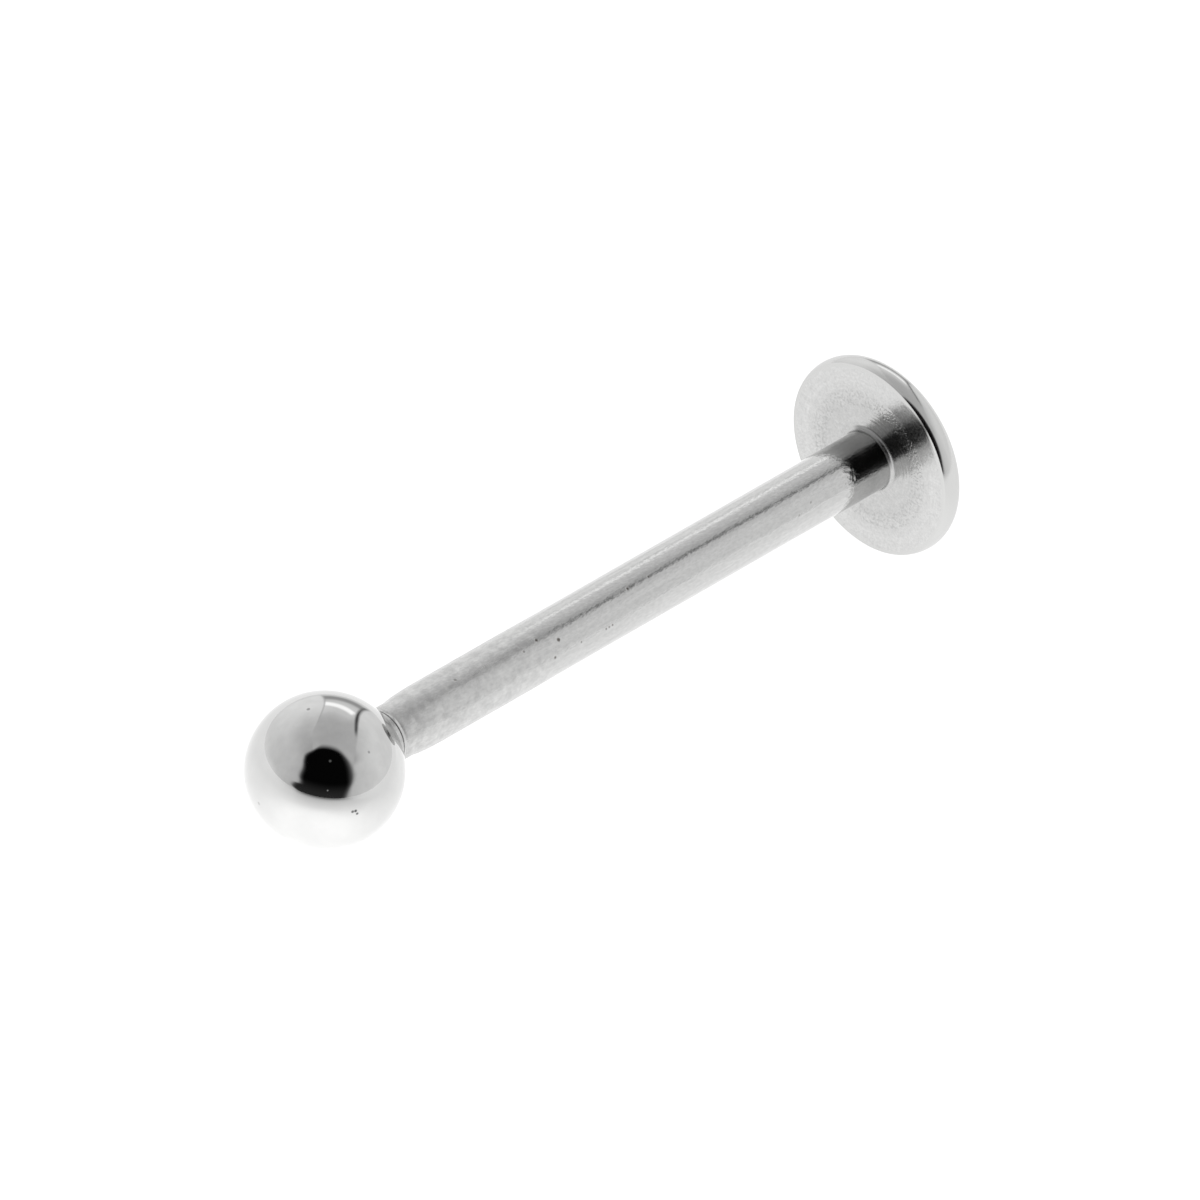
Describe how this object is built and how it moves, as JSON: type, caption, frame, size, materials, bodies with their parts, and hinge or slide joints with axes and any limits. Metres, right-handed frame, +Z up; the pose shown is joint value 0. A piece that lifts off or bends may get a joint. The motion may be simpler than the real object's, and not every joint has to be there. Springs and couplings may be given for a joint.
{
  "type": "labret stud",
  "caption": "Labret stud: a straight steel post with a flat round back at one end and a screw-on ball at the other, worn through a lip or ear piercing.",
  "frame": {"origin": "middle of the lying stud's base, on the surface that it rests on", "axes": "+X along the post from the ball to the flat back, +Z up; the post rises 1.93 degrees towards the back, because the back is wider than the ball"},
  "size_m": [0.0166, 0.004, 0.004],
  "materials": {
    "post_steel": "polished surgical steel with fine lengthwise draw marks on the post and turned rings on the flat back",
    "ball_steel": "mirror-polished surgical steel"
  },
  "bodies": {
    "stud": {"flat_back_post": "post_steel"},
    "ball": {"screw_ball": "ball_steel"}
  },
  "joints": [
    {"name": "ball_unscrew", "type": "slide", "parent": "stud", "child": "ball", "axis": [-0.9994, 0, -0.0337], "range_m": [0, 0.0024]}
  ]
}
